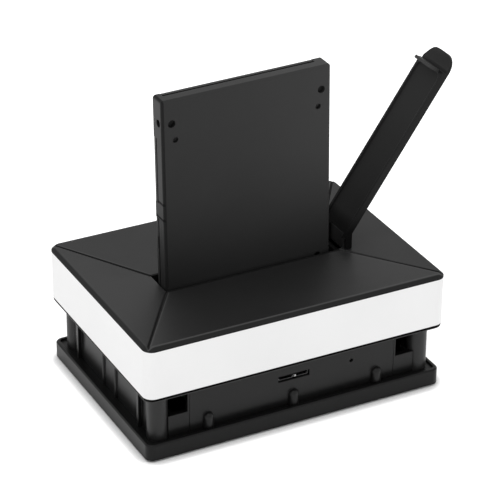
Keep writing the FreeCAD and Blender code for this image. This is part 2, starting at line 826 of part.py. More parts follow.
def screw(x, y, z, head_radius, head_height, radius, length, countersunk=False):
    # Head below z and shank above it, driven upwards from underneath, with a socket of socket_sides sides
    if countersunk:
        head = Part.makeCone(head_radius, radius, head_height, V(x, y, z - head_height))
    else:
        head = rod(head_radius, x, y, z - head_height, z)
    body = joined(head, [rod(radius, x, y, z - head_height / 2, z + length)])
    corners = []
    for index in range(socket_sides):
        angle = index * 2 * pi / socket_sides
        corners.append((x + drive_socket_radius * cos(angle), y + drive_socket_radius * sin(angle),
                        z - head_height))
    return body.cut(prism(corners, V(0, 0, drive_socket_depth)))


def turned_over(shape, z):
    # The same screw driven downwards: a half turn about the level line through z
    copy = shape.copy()
    centre = copy.BoundBox.Center
    copy.rotate(V(centre.x, centre.y, z), V(1, 0, 0), 180)
    return copy


def make_base_screws():
    seat = plate_bottom + base_screw_head_height
    piece = screw(pillar_x, pillar_y, seat, base_screw_head_radius, base_screw_head_height,
                  base_screw_radius, base_screw_length - base_screw_head_height, True)
    return Part.makeCompound(at_corners(piece))


def make_cover_screws():
    piece = screw(cover_boss_x, cover_boss_y, pan_bottom, cover_screw_head_radius, cover_screw_head_height,
                  cover_screw_radius, cover_screw_length)
    return Part.makeCompound(at_corners(piece))


def make_guide_screws():
    piece = screw(guide_ear_offset, screw_sides_y, roof_bottom - guide_ear_thickness, board_screw_head_radius,
                  board_screw_head_height, board_screw_radius, guide_screw_length)
    return Part.makeCompound(at_corners(piece))


def make_board_screws():
    screws = []
    for x, y in board_holes():
        piece = screw(x, y, board_top, board_screw_head_radius, board_screw_head_height,
                      board_screw_radius, board_screw_length)
        screws.append(turned_over(piece, board_top))
    return Part.makeCompound(screws)


def drive_corners(from_side, from_plug, from_top):
    # Places on the drive's front face, given from its sides and from its two ends
    places = []
    for z in (drive_bottom + from_plug, drive_top - from_top):
        places.append((drive_left + from_side, z))
        places.append((drive_right - from_side, z))
    return places


def insert_places():
    side = (drive_width - drive_hole_spacing) / 2
    return drive_corners(side, drive_hole_from_plug, drive_hole_from_top)


def case_screw_places():
    from_plug = drive_hole_from_plug + case_screw_from_end - drive_hole_from_top
    return drive_corners(case_screw_from_side, from_plug, case_screw_from_end)


def drive_block(y0, y1, inset):
    block = box(drive_left + inset, drive_right - inset, y0, y1, drive_bottom + inset, drive_top - inset)
    along_y = [edge for edge in block.Edges if edge.BoundBox.YLength > (y1 - y0) / 2]
    return block.makeFillet(max(drive_corner_radius - inset, least_radius), along_y)


def drive_lugs(gap):
    # What the case keeps round the back plate, four corners and a tab half way up each side, grown by gap
    split = drive_front + drive_split
    rim = drive_block(split, drive_back, 0.0).cut(drive_block(split, drive_back, lug_thickness + gap))
    low = drive_top - side_lug_from_top - side_lug_length
    heights = [(drive_bottom, drive_bottom + corner_lug_length), (drive_top - corner_lug_length, drive_top),
               (low, low + side_lug_length)]
    sides = [(drive_left, drive_left + left_lug_width), (drive_right - right_lug_width, drive_right)]
    zones = [box(x0 - gap, x1 + gap, split, drive_back, z0 - gap, z1 + gap)
             for x0, x1 in sides for z0, z1 in heights]
    return [rim.common(zone) for zone in zones]


def insert_bosses():
    # Blocks in the corners of the case that carry the tapped holes of the face and of the sides
    bosses = []
    half = insert_boss_height / 2
    y1 = drive_front + insert_boss_depth
    for x, z in insert_places():
        x0, x1 = (drive_left, drive_left + insert_boss_width)
        if x > drive_x:
            x0, x1 = (drive_right - insert_boss_width, drive_right)
        bosses.append(box(x0 + drive_bevel, x1 - drive_bevel, drive_front + drive_bevel, y1,
                          z - half, z + half))
    return bosses


def side_holes():
    y = drive_front + side_hole_from_face
    holes = []
    for z in (drive_bottom + drive_hole_from_plug, drive_top - drive_hole_from_top):
        holes.append(Part.makeCylinder(drive_hole_radius, side_hole_depth, V(drive_left, y, z), V(1, 0, 0)))
        holes.append(Part.makeCylinder(drive_hole_radius, side_hole_depth, V(drive_right, y, z), V(-1, 0, 0)))
    return holes


def plug_bay():
    # Room in both shells for the plug's block behind the recess
    half = plug_recess_width / 2
    top = drive_bottom + plug_recess_depth + plug_block_height
    return box(plug_x - half, plug_x + half, plug_y - plug_recess_thickness / 2,
               plug_y + plug_recess_thickness / 2, drive_bottom, top)


def docked(shape):
    # The drive is built upright and then leans about the middle of its plug
    leaning = shape.copy()
    leaning.rotate(V(plug_x, plug_y, drive_bottom), V(0, 1, 0), -drive_lean)
    return leaning


def make_drive_case():
    split = drive_front + drive_split
    case = drive_block(drive_front, split, 0.0)
    front_edges = [edge for edge in case.Edges if edge.BoundBox.YMax < drive_front + least_radius]
    case = case.makeChamfer(drive_bevel, front_edges)
    case = case.cut(box(drive_left + drive_wall, drive_right - drive_wall, drive_front + drive_face_wall, split,
                        drive_bottom + drive_wall, drive_top - drive_wall))
    seat = drive_front + case_screw_sink + case_screw_head_height
    bosses = [rod_y(case_screw_boss_radius, x, z, drive_front + drive_bevel, drive_front + case_screw_seat)
              for x, z in case_screw_places()]
    case = joined(case, bosses + insert_bosses() + drive_lugs(0.0))
    holes = [rod_y(drive_hole_radius, x, z, drive_front, drive_front + drive_hole_depth)
             for x, z in insert_places()]
    for x, z in case_screw_places():
        holes.append(rod_y(case_screw_head_radius + pin_gap, x, z, drive_front, seat))
        holes.append(rod_y(case_screw_shank_radius + pin_gap, x, z, drive_front, split))
    return case.cut(holes + side_holes() + [plug_bay()])


def drive_seam():
    # The groove round the edge where plate and case meet, wider for a short way on both sides
    split = drive_front + drive_split
    inner = drive_block(split, drive_back, drive_back_inset + drive_seam_depth)
    low = drive_top - seam_notch_from_top - seam_notch_length
    groove = box(drive_left, drive_right, split, split + drive_seam_width, drive_bottom, drive_top)
    notch = box(drive_left, drive_right, split, split + seam_notch_width, low, low + seam_notch_length)
    return groove.fuse(notch).cut(inner)


def make_drive_cover():
    # Back plate with a hollow inside, a seam round its front edge and notches for the case's lugs
    split = drive_front + drive_split
    cover = drive_block(split, drive_back, drive_back_inset)
    wall = drive_back_inset + drive_seam_depth + drive_wall
    hollow = box(drive_left + wall, drive_right - wall, split, drive_back - drive_wall,
                 drive_bottom + wall, drive_top - wall)
    cover = cover.cut([hollow, drive_seam()] + drive_lugs(pin_gap))
    seat = drive_front + case_screw_seat
    bosses = [rod_y(case_screw_boss_radius, x, z, seat, drive_back - drive_wall)
              for x, z in case_screw_places()]
    cover = joined(cover, bosses)
    pilots = [rod_y(case_screw_shank_radius + pin_gap, x, z, seat, seat + case_screw_pilot_depth)
              for x, z in case_screw_places()]
    return cover.cut(pilots + [plug_bay()])


def make_drive_screws():
    face = drive_front + case_screw_sink
    tip = drive_front + case_screw_seat + case_screw_pilot_depth - pin_gap
    long = case_screw_cross_length / 2
    short = case_screw_cross_width / 2
    screws = []
    for x, z in case_screw_places():
        head = rod_y(case_screw_head_radius, x, z, face, face + case_screw_head_height)
        shank = rod_y(case_screw_shank_radius, x, z, face, tip)
        cross = [box(x - long, x + long, face, face + case_screw_cross_width, z - short, z + short),
                 box(x - short, x + short, face, face + case_screw_cross_width, z - long, z + long)]
        screws.append(joined(head, [shank]).cut(cross))
    return Part.makeCompound(screws)


def make_drive_plug():
    half = plug_recess_width / 2
    bottom = drive_bottom + plug_recess_depth
    block = box(plug_x - half, plug_x + half, plug_y - plug_recess_thickness / 2,
                plug_y + plug_recess_thickness / 2, bottom, bottom + plug_block_height)
    low = bottom - tongue_height
    return joined(block, tongue_solids(0.0, low, bottom + tongue_thickness))


def make_drive_contacts():
    # Gold strips on the front face of each tongue
    bottom = drive_bottom + plug_recess_depth
    face = plug_y - tongue_thickness / 2
    strips = []
    for start, end, count in tongue_places():
        for x in contact_places(start, end - tongue_thickness, count):
            strips.append(box(x - contact_width / 2, x + contact_width / 2, face - contact_proud, face,
                              bottom - tongue_height + tongue_thickness, bottom))
    return Part.makeCompound(strips)


def drive_board_bottom():
    return drive_bottom + plug_recess_depth + plug_block_height


def make_drive_board():
    z0 = drive_board_bottom()
    y0 = drive_front + drive_board_face
    half = drive_board_width / 2
    return box(drive_x - half, drive_x + half, y0, y0 + drive_board_thickness, z0, z0 + drive_board_length)


def make_flash_chips():
    # Four memory packages in two rows on the back of the drive's board
    y0 = drive_front + drive_board_face + drive_board_thickness
    z0 = drive_board_bottom() + flash_from_board_end
    half = flash_length / 2
    chips = []
    for x in (drive_x - flash_column_spacing / 2, drive_x + flash_column_spacing / 2):
        for row in range(2):
            z = z0 + row * flash_row_spacing
            chips.append(box(x - half, x + half, y0, y0 + flash_height, z, z + flash_width))
    return Part.makeCompound(chips)


def make_drive_controller():
    y0 = drive_front + drive_board_face + drive_board_thickness
    z0 = drive_board_bottom() + controller_from_plug
    half = controller_size / 2
    return box(drive_x - half, drive_x + half, y0, y0 + flash_height, z0, z0 + controller_size)


def main():
    right_end, left_end = make_waist_ends()
    nodes = {
        "base_tray": make_base_tray(),
        "bottom_cover": make_bottom_cover(),
        "rubber_feet": make_feet(),
        "base_screws": make_base_screws(),
        "right_end_wall": right_end,
        "left_end_wall": left_end,
        "port_panel": make_port_panel(),
        "rear_panel": make_rear_panel(),
        "under_pan": make_under_pan(),
        "side_band": make_side_band(),
        "top_cover": make_top_cover(),
        "cover_screws": make_cover_screws(),
        "drive_guide": make_drive_guide(),
        "guide_screws": make_guide_screws(),
        "circuit_board": make_circuit_board(),
        "board_screws": make_board_screws(),
        "sata_socket": make_sata_socket(),
        "sata_tails": make_sata_tails(),
        "usb_shell": make_usb_shell(),
        "usb_tongues": make_usb_tongues(),
        "bridge_chip": make_bridge_chip(),
        "crystal": make_crystal(),
        "power_coil": make_power_coil(),
        "capacitors": make_capacitors(),
        "status_led": make_status_led(),
        "light_pipe": make_light_pipe(),
        "hinge_pin": make_hinge_pin(),
        "lid_flap": make_lid(),
        "drive_case": docked(make_drive_case()),
        "drive_cover": docked(make_drive_cover()),
        "drive_screws": docked(make_drive_screws()),
        "drive_plug": docked(make_drive_plug()),
        "drive_contacts": docked(make_drive_contacts()),
        "drive_board": docked(make_drive_board()),
        "flash_chips": docked(make_flash_chips()),
        "drive_controller": docked(make_drive_controller()),
    }
    os.makedirs("parts", exist_ok=True)
    for name, shape in nodes.items():
        shape.exportStep("parts/" + name + ".step")
        print(name, len(shape.Solids), "solids", round(shape.Volume / 1000, 2), "cm3", shape.isValid())


main()
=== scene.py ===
import json
from math import cos, radians, sin

import bmesh
import bpy
from mathutils import Matrix, Vector


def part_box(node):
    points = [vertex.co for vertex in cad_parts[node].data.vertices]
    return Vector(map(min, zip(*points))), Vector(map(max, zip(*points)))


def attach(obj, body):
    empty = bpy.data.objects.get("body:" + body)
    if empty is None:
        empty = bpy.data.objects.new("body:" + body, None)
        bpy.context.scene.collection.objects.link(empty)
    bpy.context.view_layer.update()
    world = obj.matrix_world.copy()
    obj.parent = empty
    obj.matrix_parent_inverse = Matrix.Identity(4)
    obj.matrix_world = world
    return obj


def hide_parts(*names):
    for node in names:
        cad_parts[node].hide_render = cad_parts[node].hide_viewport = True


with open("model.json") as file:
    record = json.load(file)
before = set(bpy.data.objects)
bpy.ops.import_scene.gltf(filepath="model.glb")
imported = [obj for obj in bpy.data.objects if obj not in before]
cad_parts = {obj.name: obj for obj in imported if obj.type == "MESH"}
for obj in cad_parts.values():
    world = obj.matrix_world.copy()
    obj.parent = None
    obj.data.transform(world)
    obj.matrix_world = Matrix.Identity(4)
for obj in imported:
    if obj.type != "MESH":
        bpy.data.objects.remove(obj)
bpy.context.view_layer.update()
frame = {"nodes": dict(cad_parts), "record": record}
scene = bpy.context.scene
scene.view_settings.view_transform = "Standard"

# All lengths are in metres, in the frame of the CAD model
DOCK = "dock"
WHITE = (1.0, 1.0, 1.0, 1.0)
BLACK = (0.0, 0.0, 0.0, 1.0)


# Camera: fitted to the straight edges of the photograph
def add_camera():
    focal_px = 2444.168
    image_width_px = 500.0
    azimuth = radians(-27.582)
    elevation = radians(28.6)
    roll = radians(0.513)
    distance = 0.931398
    target = Vector((0.001703, 0.000005, 0.055309))
    right = Vector((cos(azimuth), sin(azimuth), 0.0))
    back = Vector((sin(azimuth) * cos(elevation), -cos(azimuth) * cos(elevation), sin(elevation)))
    up = back.cross(right)
    turned_right = cos(roll) * right + sin(roll) * up
    turned_up = -sin(roll) * right + cos(roll) * up
    data = bpy.data.cameras.new("camera")
    data.sensor_width = 36.0
    data.lens = focal_px * data.sensor_width / image_width_px
    data.clip_start = 0.05
    camera = bpy.data.objects.new("camera", data)
    turn = Matrix((turned_right, turned_up, back)).transposed().to_4x4()
    camera.matrix_world = Matrix.Translation(target + back * distance) @ turn
    scene.collection.objects.link(camera)
    scene.camera = camera


# Shader nodes. The whole numbers are the Mix node's sockets for a colour
MIX_FACTOR = 0
MIX_FIRST = 6
MIX_SECOND = 7
MIX_RESULT = 2
MASK_FADE = 0.0002


class Tree:
    def __init__(self, tree):
        self.tree = tree
        self.tree.nodes.clear()

    def add(self, kind, inputs=None, **settings):
        # An input is another node's output, which is linked, or a constant, which is set on the socket
        node = self.tree.nodes.new(kind)
        for key, value in settings.items():
            setattr(node, key, value)
        for key, value in (inputs or {}).items():
            if isinstance(value, bpy.types.NodeSocket):
                self.tree.links.new(value, node.inputs[key])
            else:
                node.inputs[key].default_value = value
        return node

    def math(self, operation, *values, clamp=False):
        inputs = dict(enumerate(values))
        return self.add("ShaderNodeMath", inputs, operation=operation, use_clamp=clamp).outputs[0]

    def plus(self, first, second):
        return self.math("ADD", first, second)

    def minus(self, first, second):
        return self.math("SUBTRACT", first, second)

    def times(self, first, second):
        return self.math("MULTIPLY", first, second)

    def parts(self, vector):
        # The x, y and z of a vector
        return self.add("ShaderNodeSeparateXYZ", {0: vector}).outputs

    def noise(self, place, scale, detail, roughness):
        inputs = {"Vector": place, "Scale": scale, "Detail": detail, "Roughness": roughness}
        return self.add("ShaderNodeTexNoise", inputs).outputs["Fac"]

    def stretch(self, value, start, end, low=0.0, high=1.0):
        # A value between start and end, moved to between low and high
        inputs = {"Value": value, "From Min": start, "From Max": end, "To Min": low, "To Max": high}
        return self.add("ShaderNodeMapRange", inputs).outputs["Result"]

    def around(self, value, middle, spread):
        # A 0 to 1 value, moved to the middle less or plus the spread
        return self.stretch(value, 0.0, 1.0, middle - spread, middle + spread)

    def near(self, value, middle, half, fade=MASK_FADE):
        # 1 where a value is within half of the middle
        away = self.math("ABSOLUTE", self.minus(value, middle))
        return self.stretch(away, half + fade, half)

    def blend(self, factor, first, second):
        inputs = {MIX_FACTOR: factor, MIX_FIRST: first, MIX_SECOND: second}
        return self.add("ShaderNodeMix", inputs, data_type="RGBA").outputs[MIX_RESULT]

    def rounded(self, radius):
        # The normal, turned along edges as if they had this radius
        return self.add("ShaderNodeBevel", {"Radius": radius}, samples=6).outputs["Normal"]

    def bump(self, height, distance, normal=None):
        inputs = {"Height": height, "Strength": 1.0, "Distance": distance}
        if normal is not None:
            inputs["Normal"] = normal
        return self.add("ShaderNodeBump", inputs).outputs["Normal"]

    def surface(self, inputs):
        shader = self.add("ShaderNodeBsdfPrincipled", inputs)
        self.add("ShaderNodeOutputMaterial", {"Surface": shader.outputs[0]})


def grey(level, tint=(1.0, 1.0, 1.0)):
    # An sRGB grey level of 0 to 255, as a linear colour
    value = level / 255.0
    linear = ((value + 0.055) / 1.055) ** 2.4 if value > 0.04045 else value / 12.92
    return (linear * tint[0], linear * tint[1], linear * tint[2], 1.0)


def new_material(name):
    material = bpy.data.materials.new(name)
    material.use_nodes = True
    return material, Tree(material.node_tree)


def object_place(tree):
    return tree.add("ShaderNodeTexCoord").outputs["Object"]


# Marks of painted light and shade, some also rougher: each one's grey level, and how much rougher it is than
# the surface round it
MARKS = {
    "cover_rim_shade": (13, 0.22),
    "cover_joint_shade": (3, 0.1),
    "cover_crease_highlight": (56, 0.0),
    "hip_edge_highlight": (50, 0.0),
    "hip_groove_shade": (3, 0.3),
    "slot_lip_shadow": (3, 0.4),
    "lid_hinge_shade": (2, 0.3),
    "lid_toe_shade": (2, 0.4),
    "lid_tip_highlight": (25, 0.0),
    "lid_fin_highlight": (50, 0.0),
    "case_painted_light": (43, 0.0),
    "case_painted_shade": (16, 0.0),
    "case_left_edge_shade": (3, 0.25),
    "case_right_edge_highlight": (52, 0.0),
    "case_tab_end_shade": (1, 0.4),
    "case_slot_shadow": (15, 0.2),
}


class Coat:
    # A surface's colour and roughness, which marks are painted over
    def __init__(self, tree, body, roughness):
        self.tree = tree
        self.body = body
        self.roughness = roughness

    def mark(self, name, mask):
        level, rougher = MARKS[name]
        self.body = self.tree.blend(mask, self.body, grey(level))
        self.roughness = self.tree.plus(self.roughness, self.tree.times(mask, rougher))


# Painted light and shade on the cover. A pair is where a mark starts to show, and where it is full
# The crease is where the roof meets the rim. A hip groove starts at HIP_X and HIP_Y, and runs along HIP_WAY
CREASE_X = 0.06165
CREASE_Y = 0.04315
CREASE_MIDDLE = -0.0001
CREASE_HALF = 0.00022
CREASE_CORNER = (0.0002, -0.0002)
CREASE_LEAST = 0.12
RIM_START = (0.0001, 0.0004)
RIM_FOOT = (0.0483, 0.0479)
ROOF_EDGE = (0.0, -0.0002)
HIP_X = 0.0366
HIP_Y = 0.0067
HIP_WAY = (0.5664, 0.8241)
HIP_START = (HIP_Y - 0.0002, HIP_Y + 0.0002)
HIP_EDGE_MIDDLE = -0.00075
HIP_EDGE_HALF = 0.00012
HIP_GROOVE_HALF = 0.00045
HIP_GROOVE_FADE = 0.0001
LIP_HALF = 0.00085
LIP_END = (HIP_X + 0.0006, HIP_X + 0.0003)


def paint_cover(tree, place, coat):
    # A rim darkened with painted shade and made rougher, painted shade in the joint at the band, a painted
    # highlight along the crease, painted shade in the hip grooves and along the slot's lips, and a painted
    # highlight beside each hip groove
    x = tree.math("ABSOLUTE", place[0])
    y = tree.math("ABSOLUTE", place[1])
    past_end = tree.minus(x, CREASE_X)
    past_side = tree.minus(y, CREASE_Y)
    outside = tree.math("MAXIMUM", past_end, past_side)
    rim = tree.stretch(outside, *RIM_START)
    # Painted shade: the rim is darker than the roof, and rougher
    coat.mark("cover_rim_shade", rim)
    # Painted shade in the joint between the rim and the band
    coat.mark("cover_joint_shade", tree.times(rim, tree.stretch(place[2], *RIM_FOOT)))
    # Painted highlight along the crease, fainter along the ends than along the sides
    fainter = tree.stretch(tree.minus(past_end, past_side), *CREASE_CORNER, CREASE_LEAST, 1.0)
    coat.mark("cover_crease_highlight", tree.times(tree.near(outside, CREASE_MIDDLE, CREASE_HALF), fainter))
    across = tree.times(tree.minus(x, HIP_X), HIP_WAY[1])
    away = tree.minus(across, tree.times(tree.minus(y, HIP_Y), HIP_WAY[0]))
    roof = tree.times(tree.stretch(outside, *ROOF_EDGE), tree.stretch(y, *HIP_START))
    # Painted highlight along one side of each hip groove
    coat.mark("hip_edge_highlight", tree.times(roof, tree.near(away, HIP_EDGE_MIDDLE, HIP_EDGE_HALF)))
    # Painted shade in the hip grooves, which are rougher too
    coat.mark("hip_groove_shade", tree.times(roof, tree.near(away, 0.0, HIP_GROOVE_HALF, HIP_GROOVE_FADE)))
    # Painted shadow along the slot's lips, which are rougher too
    coat.mark("slot_lip_shadow", tree.times(tree.near(y, HIP_Y, LIP_HALF), tree.stretch(x, *LIP_END)))


# Painted light and shade on the lid. Its own two directions run from the hinge: along to the tip, and up from
# the inner face
LID_HINGE_X = 0.0401
LID_HINGE_Z = 0.05165
LID_OPENING = radians(55.74)
LID_INNER_FACE = (-0.2, -0.6)
LID_SHADE_HEIGHT = (0.1, 0.066)
LID_SHADE_MOST = 0.7
LID_TOE_HEIGHT = (0.0605, 0.056)
LID_TIP_START = (0.0744, 0.0748)
FIN_FOOT = (0.0722, 0.0732)
FIN_RISE = (0.00344, 0.00384)


def paint_lid(tree, place, coat):
    # Painted shade darkens the inner face towards the hinge, and the toe, both also rougher. Painted
    # highlights brighten the tip of the inner face and the fin
    facing = tree.parts(tree.add("ShaderNodeTexCoord").outputs["Normal"])[0]
    inner = tree.stretch(facing, *LID_INNER_FACE)
    # Painted shade: the inner face darkens towards the hinge, and is rougher there
    coat.mark("lid_hinge_shade", tree.times(inner, tree.stretch(place[2], *LID_SHADE_HEIGHT, 0.0, LID_SHADE_MOST)))
    # Painted shade on the toe by the hinge, which is rougher too
    coat.mark("lid_toe_shade", tree.stretch(place[2], *LID_TOE_HEIGHT))
    x = tree.minus(place[0], LID_HINGE_X)
    z = tree.minus(place[2], LID_HINGE_Z)
    along = tree.plus(tree.times(x, cos(LID_OPENING)), tree.times(z, sin(LID_OPENING)))
    rise = tree.minus(tree.times(z, cos(LID_OPENING)), tree.times(x, sin(LID_OPENING)))
    # Painted highlight: the inner face is paler at the tip
    coat.mark("lid_tip_highlight", tree.times(inner, tree.stretch(along, *LID_TIP_START)))
    # Painted highlight on the fin
    coat.mark("lid_fin_highlight", tree.times(tree.stretch(rise, *FIN_RISE), tree.stretch(along, *FIN_FOOT)))


# Painted light and shade on the drive's case, which leans a little to the left
CASE_FOOT = 0.0255
CASE_LEAN = 0.01746
CASE_LEFT = -0.036
CASE_RIGHT = 0.0338
CASE_LIGHT_HEIGHT = (0.06, 0.095)
CASE_LIGHT_MOST = 0.6
CASE_SHADE_MOST = 0.5
LEFT_SHADE_HALF = 0.0003
LEFT_SHADE_FADE = 0.0003
LEFT_SHADE_MIDDLE = CASE_LEFT + 0.0006
RIGHT_HIGHLIGHT_MIDDLE = CASE_RIGHT - 0.0003
RIGHT_HIGHLIGHT_HALF = 0.0002
TAB_END_MIDDLE = CASE_LEFT + 0.0002
TAB_END_HEIGHTS = (0.0834, 0.0769)
TAB_END_RADIUS = (0.00065, 0.0004)
SLOT_SHADOW_FOOT = (0.0465, 0.0469)
SLOT_SHADOW_TOP = (0.0489, 0.048)


def paint_drive(tree, place, coat):
    # Painted light to the upper right and painted shade to the left, a painted shade line along the left
    # edge, a painted highlight line along the right edge, painted shade dots at the left tab's ends, and a
    # painted shadow band at the slot's height
    along = tree.plus(place[0], tree.times(tree.minus(place[2], CASE_FOOT), CASE_LEAN))
    # Painted light on the upper right of the case, painted shade on its left half
    rightward = tree.stretch(along, 0.0, CASE_RIGHT, 0.0, CASE_LIGHT_MOST)
    coat.mark("case_painted_light", tree.times(rightward, tree.stretch(place[2], *CASE_LIGHT_HEIGHT)))
    coat.mark("case_painted_shade", tree.stretch(along, 0.0, CASE_LEFT, 0.0, CASE_SHADE_MOST))
    # Painted shade: a dark line along the left edge of the face, rougher too
    coat.mark("case_left_edge_shade", tree.near(along, LEFT_SHADE_MIDDLE, LEFT_SHADE_HALF, LEFT_SHADE_FADE))
    # Painted highlight: a pale line along the right edge of the face
    coat.mark("case_right_edge_highlight", tree.near(along, RIGHT_HIGHLIGHT_MIDDLE, RIGHT_HIGHLIGHT_HALF))
    # Painted shade: dark dots where the left side tab meets the face
    for height in TAB_END_HEIGHTS:
        offset = (tree.minus(along, TAB_END_MIDDLE), tree.minus(place[2], height))
        away = tree.math("SQRT", tree.plus(*[tree.math("POWER", value, 2.0) for value in offset]))
        coat.mark("case_tab_end_shade", tree.stretch(away, *TAB_END_RADIUS))
    # Painted shadow: a dark band across the case at the height of the slot's lips, rougher too
    foot = tree.stretch(place[2], *SLOT_SHADOW_FOOT)
    coat.mark("case_slot_shadow", tree.times(foot, tree.stretch(place[2], *SLOT_SHADOW_TOP)))


# Noises: scale, detail and roughness
PLASTIC_CLOUD = (18.0, 3.0, 0.55)
PLASTIC_SMUDGE = (45.0, 4.0, 0.6)
METAL_CLOUD = (160.0, 4.0, 0.6)
METAL_GRAIN = (2600.0, 2.0, 0.5)
CERAMIC_CLOUD = (1400.0, 3.0, 0.6)
CLEAR_RIPPLE = (700.0, 2.0, 0.5)
CLEAR_CLOUD = (240.0, 2.0, 0.5)
PAPER_GRAIN = (300.0, 2.0, 0.5)

# Plastic: its edges are smoother, and paler with a painted highlight, and its grain is a fine noise with a
# finer one on it
PLASTIC_EDGE = 0.0003
PLASTIC_CLOUD_SPAN = (0.35, 0.65)
PLASTIC_SMUDGE_SPREAD = 0.05
EDGE_FLAT = 0.995
EDGE_FULL = 0.85
EDGE_HIGHLIGHT_MOST = 0.5
EDGE_SMOOTHER = -0.08
GRAIN_NOISE = (3.0, 0.6)
GRAIN_SHARE = 0.7
SPECK_NOISE = (2.0, 0.6)
SPECK_RATIO = 3.1
SPECK_SHARE = 0.3

# Metal and small parts
METAL_EDGE = 0.00012
METAL_CLOUD_SPAN = (0.3, 0.7)
METAL_ROUGH_SPREAD = 0.08
FINE_DEPTH = 0.00001
BOARD_DEPTH = 0.00003
BOARD_GREEN = (0.45, 1.0, 0.6)
WEAVE_SHARE = 0.2
CERAMIC_DARK = (1.0, 0.82, 0.6)
CERAMIC_LIGHT = (1.0, 0.84, 0.64)
CLEAR_ROUGHNESS = (0.15, 0.3)


def edge_mask(tree, rounded):
    # 1 along edges, 0 on open faces
    normals = {0: rounded, 1: tree.add("ShaderNodeNewGeometry").outputs["Normal"]}
    dot = tree.add("ShaderNodeVectorMath", normals, operation="DOT_PRODUCT").outputs["Value"]
    return tree.stretch(dot, EDGE_FLAT, EDGE_FULL)


def plastic(name, dark, light, rough, grain, depth, specular=0.3, edge_highlight=1.35, paint=None):
    material, tree = new_material(name)
    place = object_place(tree)
    rounded = tree.rounded(PLASTIC_EDGE)
    edge = edge_mask(tree, rounded)
    cloud = tree.noise(place, *PLASTIC_CLOUD)
    body = tree.blend(tree.stretch(cloud, *PLASTIC_CLOUD_SPAN), grey(dark), grey(light))
    # Painted highlight: the colour goes paler along edges
    body = tree.blend(tree.times(edge, EDGE_HIGHLIGHT_MOST), body, grey(light * edge_highlight))
    fine = tree.noise(place, grain, *GRAIN_NOISE)
    speck = tree.noise(place, grain * SPECK_RATIO, *SPECK_NOISE)
    height = tree.plus(tree.times(fine, GRAIN_SHARE), tree.times(speck, SPECK_SHARE))
    smudged = tree.around(tree.noise(place, *PLASTIC_SMUDGE), rough, PLASTIC_SMUDGE_SPREAD)
    coat = Coat(tree, body, tree.plus(smudged, tree.times(edge, EDGE_SMOOTHER)))
    if paint:
        paint(tree, tree.parts(place), coat)
    tree.surface({"Base Color": coat.body, "Roughness": coat.roughness, "Specular IOR Level": specular,
                  "Normal": tree.bump(height, depth, rounded)})
    return material


def metal(name, dark, light, rough):
    material, tree = new_material(name)
    place = object_place(tree)
    cloud = tree.noise(place, *METAL_CLOUD)
    body = tree.blend(tree.stretch(cloud, *METAL_CLOUD_SPAN), grey(dark), grey(light))
    normal = tree.bump(tree.noise(place, *METAL_GRAIN), FINE_DEPTH, tree.rounded(METAL_EDGE))
    tree.surface({"Base Color": body, "Roughness": tree.around(cloud, rough, METAL_ROUGH_SPREAD),
                  "Metallic": 1.0, "Normal": normal})
    return material


def laminate(name):
    # Solder mask over copper lines, with a fine weave under it
    material, tree = new_material(name)
    place = object_place(tree)
    weave = tree.add("ShaderNodeTexWave", {"Vector": place, "Scale": 900.0, "Distortion": 0.4}).outputs["Fac"]
    bricks = {"Vector": place, "Scale": 160.0, "Mortar Size": 0.03, "Color1": WHITE, "Color2": WHITE,
              "Mortar": BLACK}
    lines = tree.add("ShaderNodeTexBrick", bricks).outputs["Color"]
    body = tree.blend(lines, grey(70, BOARD_GREEN), grey(52, BOARD_GREEN))
    normal = tree.bump(tree.plus(tree.times(weave, WEAVE_SHARE), lines), BOARD_DEPTH)
    tree.surface({"Base Color": body, "Roughness": 0.35, "Coat Weight": 0.3, "Normal": normal})
    return material


def ceramic(name):
    material, tree = new_material(name)
    cloud = tree.noise(object_place(tree), *CERAMIC_CLOUD)
    body = tree.blend(cloud, grey(140, CERAMIC_DARK), grey(165, CERAMIC_LIGHT))
    tree.surface({"Base Color": body, "Roughness": 0.55, "Normal": tree.bump(cloud, FINE_DEPTH)})
    return material


def smoked_clear(name):
    material, tree = new_material(name)
    place = object_place(tree)
    ripple = tree.noise(place, *CLEAR_RIPPLE)
    body = tree.blend(tree.noise(place, *CLEAR_CLOUD), grey(40), grey(46))
    tree.surface({"Base Color": body, "Roughness": tree.stretch(ripple, 0.0, 1.0, *CLEAR_ROUGHNESS),
                  "IOR": 1.49, "Transmission Weight": 0.5, "Normal": tree.bump(ripple, FINE_DEPTH)})
    return material


# Materials: darker and lighter grey level, roughness, and for plastics the grain's scale and depth
MATERIALS = {
    "shell_black": plastic("shell_black", 27, 31, 0.5, 2600.0, 0.00003, specular=0.26),
    "lid_black": plastic("lid_black", 17, 20, 0.5, 3200.0, 0.00001, specular=0.14, paint=paint_lid),
    "band_white": plastic("band_white", 238, 242, 0.42, 2400.0, 0.00001, edge_highlight=1.0),
    "foot_rubber": plastic("foot_rubber", 33, 41, 0.8, 1500.0, 0.00004),
    "drive_black": plastic("drive_black", 27, 31, 0.55, 4200.0, 0.00002),
    "screw_steel": metal("screw_steel", 78, 98, 0.4),
    "pin_steel": metal("pin_steel", 165, 190, 0.3),
    "port_steel": metal("port_steel", 150, 178, 0.35),
    "connector_black": plastic("connector_black", 20, 26, 0.5, 3000.0, 0.00002),
    "contact_gold": metal("contact_gold", 190, 205, 0.25),
    "board_laminate": laminate("board_laminate"),
    "chip_black": plastic("chip_black", 26, 31, 0.6, 2800.0, 0.00002),
    "ceramic_tan": ceramic("ceramic_tan"),
    "led_clear": smoked_clear("led_clear"),
}

